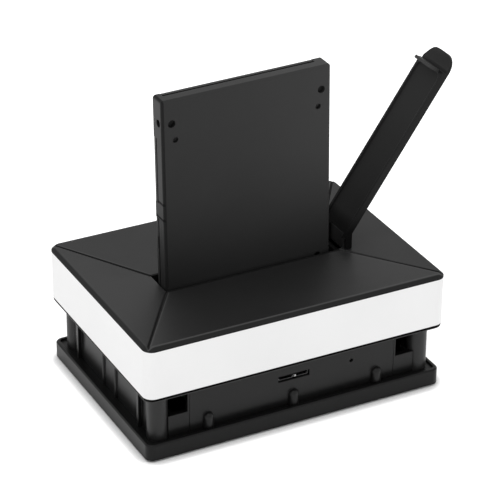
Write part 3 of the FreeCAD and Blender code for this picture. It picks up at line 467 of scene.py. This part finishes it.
# Nodes and pieces whose finish differs from the rest of their material slot
# Painted shade: the end walls, port panel and rear panel take a darker copy of the black plastic
SHADED_WAIST_BLACK = plastic("shaded_waist_black", 14, 17, 0.34, 2600.0, 0.000012, specular=0.23)
OWN_FINISH = {
    # Painted shade: the base tray takes a darker copy of the black plastic
    "base_tray": plastic("shaded_tray_black", 14, 17, 0.36, 2600.0, 0.000012, specular=0.15),
    "left_end_wall": SHADED_WAIST_BLACK,
    "right_end_wall": SHADED_WAIST_BLACK,
    "port_panel": SHADED_WAIST_BLACK,
    "rear_panel": SHADED_WAIST_BLACK,
    "top_cover": plastic("cover_black", 27, 31, 0.5, 2600.0, 0.00003, specular=0.26, paint=paint_cover),
    "drive_case": plastic("case_black", 27, 31, 0.55, 4200.0, 0.00002, paint=paint_drive),
    # Painted shade: the port shell takes a darker copy of the port steel, while its key keeps the bright one
    "port_shell": metal("shaded_port_steel", 108, 130, 0.35),
    "drive_screws": metal("black_screw_steel", 44, 56, 0.4),
    # Painted shade: a near-black, almost unreflecting finish for the joint strip
    "joint_shade_strip": plastic("joint_shade_black", 1, 3, 0.9, 2600.0, 0.00002, specular=0.03),
    # Painted shade: the drive guide takes a near-black, duller copy of the black plastic for the shade in the
    # slot
    "drive_guide": plastic("shaded_guide_black", 6, 9, 0.75, 2600.0, 0.00002, specular=0.1),
    "under_pan": plastic("pan_black", 24, 28, 0.4, 2600.0, 0.00002),
}


def finish_of(name, slot):
    return OWN_FINISH.get(name, MATERIALS[slot])


def dress_nodes():
    for entry in frame["record"]["subparts"]:
        for slot in frame["nodes"][entry["node"]].material_slots:
            slot.material = finish_of(entry["node"], entry["material_slot"])


# Meshes
BLOCK_FACES = ((0, 1, 3, 2), (4, 6, 7, 5), (0, 4, 5, 1), (2, 3, 7, 6), (0, 2, 6, 4), (1, 5, 7, 3))
BEVEL_SEGMENTS = 2


def add_piece(name, build, slot, bevel=0.0, replaced=()):
    # A piece on the dock, with its edges bevelled where a width is given
    mesh = bpy.data.meshes.new(name)
    shape = bmesh.new()
    build(shape)
    bmesh.ops.recalc_face_normals(shape, faces=shape.faces)
    shape.to_mesh(mesh)
    shape.free()
    piece = bpy.data.objects.new(name, mesh)
    scene.collection.objects.link(piece)
    mesh.materials.append(finish_of(name, slot))
    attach(piece, DOCK)
    if replaced:
        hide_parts(*replaced)
    if bevel:
        modifier = piece.modifiers.new("bevel", "BEVEL")
        modifier.width = bevel
        modifier.segments = BEVEL_SEGMENTS
        modifier.limit_method = "ANGLE"
    return piece


def add_row(shape, points):
    return [shape.verts.new(point) for point in points]


def join_rows(shape, rows):
    # Faces between each closed row of points and the next
    for first, second in zip(rows, rows[1:]):
        for i in range(len(first)):
            j = (i + 1) % len(first)
            shape.faces.new((first[i], first[j], second[j], second[i]))


def add_block(shape, low, high):
    corners = add_row(shape, [(x, y, z) for x in (low[0], high[0]) for y in (low[1], high[1])
                              for z in (low[2], high[2])])
    for face in BLOCK_FACES:
        shape.faces.new([corners[i] for i in face])


def add_fan(shape, row, tip):
    point = shape.verts.new(tip)
    for i in range(len(row)):
        shape.faces.new((row[i], row[(i + 1) % len(row)], point))


# Port: a folded steel shell with a key between its two lobes, set back in the panel, and gold contacts
PORT_LOW, PORT_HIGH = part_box("usb_shell")
PORT_WALL = 0.00025
PORT_SETBACK = 0.0007
PORT_SLANT = 0.0007
PORT_BEVEL = 0.00006
KEY_X = 0.0009
KEY_HALF = 0.0005
KEY_RISE = 0.00115
KEY_FRONT = 0.0001
KEY_FOOT = 0.0004
KEY_NOTCH = 0.0003
KEY_BEVEL = 0.00005
TONGUES_LOW, TONGUES_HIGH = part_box("usb_tongues")
CONTACT_SETBACK = 0.0004
CONTACT_HALF = 0.00016
CONTACT_THICKNESS = 0.00004
CONTACT_COUNT = 5
CONTACT_ROWS = ((-0.0045, 0.00075), (0.0028, 0.0006))


def port_outline(inset):
    left = PORT_LOW[0] + inset
    right = PORT_HIGH[0] - inset
    low = PORT_LOW[2] + inset
    high = PORT_HIGH[2] - inset
    key_left = KEY_X - KEY_HALF - inset
    key_right = KEY_X + KEY_HALF + inset
    key_top = low + KEY_RISE
    return [(left, high), (left, low + PORT_SLANT), (left + PORT_SLANT, low),
            (key_left - PORT_SLANT / 2, low), (KEY_X - KEY_HALF / 2, key_top),
            (KEY_X + KEY_HALF / 2, key_top), (key_right, low), (right, low), (right, high)]


def build_port_shell(shape):
    front = PORT_LOW[1] + PORT_SETBACK
    back = PORT_HIGH[1]
    outer = port_outline(0.0)
    inner = port_outline(PORT_WALL)
    layers = ((outer, back), (outer, front), (inner, front), (inner, back - PORT_WALL))
    rows = [add_row(shape, [(x, y, z) for x, z in outline]) for outline, y in layers]
    join_rows(shape, rows)
    shape.faces.new(rows[0])
    shape.faces.new(rows[-1])


def build_port_key(shape):
    # The key's bright front edge, near the panel's face
    low = PORT_LOW[2] + KEY_FOOT
    top = PORT_LOW[2] + KEY_RISE + PORT_WALL
    profile = [(KEY_X - KEY_HALF, low), (KEY_X - KEY_HALF / 2, top), (KEY_X + KEY_HALF / 2, top),
               (KEY_X + KEY_HALF, low), (KEY_X, low + KEY_NOTCH)]
    rows = [add_row(shape, [(x, PORT_LOW[1] + depth, z) for x, z in profile])
            for depth in (KEY_FRONT, PORT_SETBACK)]
    join_rows(shape, rows)
    shape.faces.new(rows[0])
    shape.faces.new(rows[1])


def build_port_contacts(shape):
    front = TONGUES_LOW[1] + CONTACT_SETBACK
    under = TONGUES_LOW[2]
    for start, pitch in CONTACT_ROWS:
        for i in range(CONTACT_COUNT):
            x = start + pitch * i
            add_block(shape, (x - CONTACT_HALF, front, under - CONTACT_THICKNESS),
                      (x + CONTACT_HALF, TONGUES_HIGH[1], under))


def add_port():
    add_piece("port_shell", build_port_shell, "port_steel", PORT_BEVEL, ["usb_shell"])
    add_piece("port_key", build_port_key, "port_steel", KEY_BEVEL)
    add_piece("port_contacts", build_port_contacts, "contact_gold")


# Light pipe: a smoked rod with a domed end, set back in its hole, and a collar behind the panel
PIPE_LOW, PIPE_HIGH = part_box("light_pipe")
PIPE_SETBACK = 0.0005
PIPE_STEM = 0.00078
PIPE_DOME = 0.0003
PIPE_DOME_ANGLES = [radians(degrees) for degrees in (20, 40, 60, 80, 90)]
PIPE_COLLAR = 0.0007
PIPE_SIDES = 24


def build_light_pipe(shape):
    x = (PIPE_LOW[0] + PIPE_HIGH[0]) / 2
    z = (PIPE_LOW[2] + PIPE_HIGH[2]) / 2
    front = PIPE_LOW[1] + PIPE_SETBACK
    back = PIPE_HIGH[1]
    collar = (PIPE_HIGH[0] - PIPE_LOW[0]) / 2
    rings = [(front + PIPE_DOME * (1 - cos(angle)), PIPE_STEM * sin(angle)) for angle in PIPE_DOME_ANGLES]
    rings += [(back - PIPE_COLLAR, PIPE_STEM), (back - PIPE_COLLAR, collar), (back, collar)]
    turns = [radians(360.0 * i / PIPE_SIDES) for i in range(PIPE_SIDES)]
    rows = [add_row(shape, [(x + radius * cos(turn), y, z + radius * sin(turn)) for turn in turns])
            for y, radius in rings]
    join_rows(shape, rows)
    add_fan(shape, rows[0], (x, front, z))
    add_fan(shape, rows[-1], (x, back, z))


def add_light_pipe():
    pipe = add_piece("domed_light_pipe", build_light_pipe, "led_clear", replaced=["light_pipe"])
    for face in pipe.data.polygons:
        face.use_smooth = True


# Joint strip: a near-black ring standing in for the shade in the pan's groove under the band, with a skirt
# over the pan's edge
BAND_LOW, BAND_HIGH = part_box("side_band")
BAND_CORNER = 0.004
PAN_INSET = 0.0004
GROOVE_DEPTH = 0.0008
GROOVE_HEIGHT = 0.0005
STRIP_INSET = 0.0002
STRIP_BEVEL = 0.00006
SKIRT_HEIGHT = 0.001
CORNER_STEPS = 8


def band_outline(inset, z):
    # The band's rounded rectangle, made smaller by the inset
    radius = BAND_CORNER - inset
    points = []
    for turn, (x, y) in enumerate(((1, 1), (-1, 1), (-1, -1), (1, -1))):
        for step in range(CORNER_STEPS + 1):
            angle = radians(90 * turn + 90 * step / CORNER_STEPS)
            points.append((x * (BAND_HIGH[0] - inset - radius) + radius * cos(angle),
                           y * (BAND_HIGH[1] - inset - radius) + radius * sin(angle), z))
    return points


def build_joint_shade_strip(shape):
    top = BAND_LOW[2]
    seat = top - GROOVE_HEIGHT
    bottom = top - SKIRT_HEIGHT
    inner = PAN_INSET + GROOVE_DEPTH
    profile = ((STRIP_INSET, top), (STRIP_INSET, bottom), (PAN_INSET, bottom), (PAN_INSET, seat),
               (inner, seat), (inner, top))
    rows = [add_row(shape, band_outline(inset, z)) for inset, z in profile]
    join_rows(shape, rows + rows[:1])


# Floor, world and lamp
FLOOR_HALF = 4.0
FLOOR_GLOW = 0.5
SHADOW_REACH = 0.005
SHADOW_OPENNESS = (0.7, 0.88)
WORLD_LIGHT = 0.95
WORLD_SEEN = 1.0
LAMP_PLACE = (-0.3, -0.2, 1.5)
LAMP_SIZE = 1.4
LAMP_POWER = 6.0


def seen_ray(tree):
    # 1 for camera, glossy and transmission rays
    path = tree.add("ShaderNodeLightPath")
    both = tree.math("ADD", path.outputs["Is Camera Ray"], path.outputs["Is Glossy Ray"], clamp=True)
    return tree.math("ADD", both, path.outputs["Is Transmission Ray"], clamp=True)


def add_floor():
    mesh = bpy.data.meshes.new("floor")
    corners = [(x * FLOOR_HALF, y * FLOOR_HALF, 0) for x, y in ((-1, -1), (1, -1), (1, 1), (-1, 1))]
    mesh.from_pydata(corners, [], [(0, 1, 2, 3)])
    floor = bpy.data.objects.new("floor", mesh)
    scene.collection.objects.link(floor)
    material, tree = new_material("floor_paper")
    paper = tree.blend(tree.noise(object_place(tree), *PAPER_GRAIN), grey(236), grey(239))
    diffuse = tree.add("ShaderNodeBsdfDiffuse", {"Color": paper})
    # The glow that whitens the floor dies away in the contact shadow
    open_sky = tree.add("ShaderNodeAmbientOcclusion", {"Distance": SHADOW_REACH}, samples=8).outputs["AO"]
    strength = tree.times(seen_ray(tree), tree.stretch(open_sky, *SHADOW_OPENNESS, 0.0, FLOOR_GLOW))
    glow = tree.add("ShaderNodeEmission", {"Color": WHITE, "Strength": strength})
    total = tree.add("ShaderNodeAddShader", {0: diffuse.outputs[0], 1: glow.outputs[0]})
    tree.add("ShaderNodeOutputMaterial", {"Surface": total.outputs[0]})
    mesh.materials.append(material)


def set_world():
    world = bpy.data.worlds.new("studio")
    world.use_nodes = True
    scene.world = world
    tree = Tree(world.node_tree)
    light = tree.add("ShaderNodeBackground", {"Color": WHITE, "Strength": WORLD_LIGHT})
    seen = tree.add("ShaderNodeBackground", {"Color": WHITE, "Strength": WORLD_SEEN})
    mix = tree.add("ShaderNodeMixShader", {0: seen_ray(tree), 1: light.outputs[0], 2: seen.outputs[0]})
    tree.add("ShaderNodeOutputWorld", {"Surface": mix.outputs[0]})


def add_lamp():
    # A large soft lamp overhead, aimed at the middle of the floor
    data = bpy.data.lights.new("overhead", "AREA")
    data.shape = "RECTANGLE"
    data.size = LAMP_SIZE
    data.size_y = LAMP_SIZE
    data.energy = LAMP_POWER
    lamp = bpy.data.objects.new("overhead", data)
    lamp.location = LAMP_PLACE
    lamp.rotation_euler = (-Vector(LAMP_PLACE)).to_track_quat("-Z", "Y").to_euler()
    scene.collection.objects.link(lamp)


add_camera()
dress_nodes()
add_port()
add_light_pipe()
# A near-black ring standing in for the shade under the band
add_piece("joint_shade_strip", build_joint_shade_strip, "shell_black", STRIP_BEVEL)
add_floor()
set_world()
add_lamp()
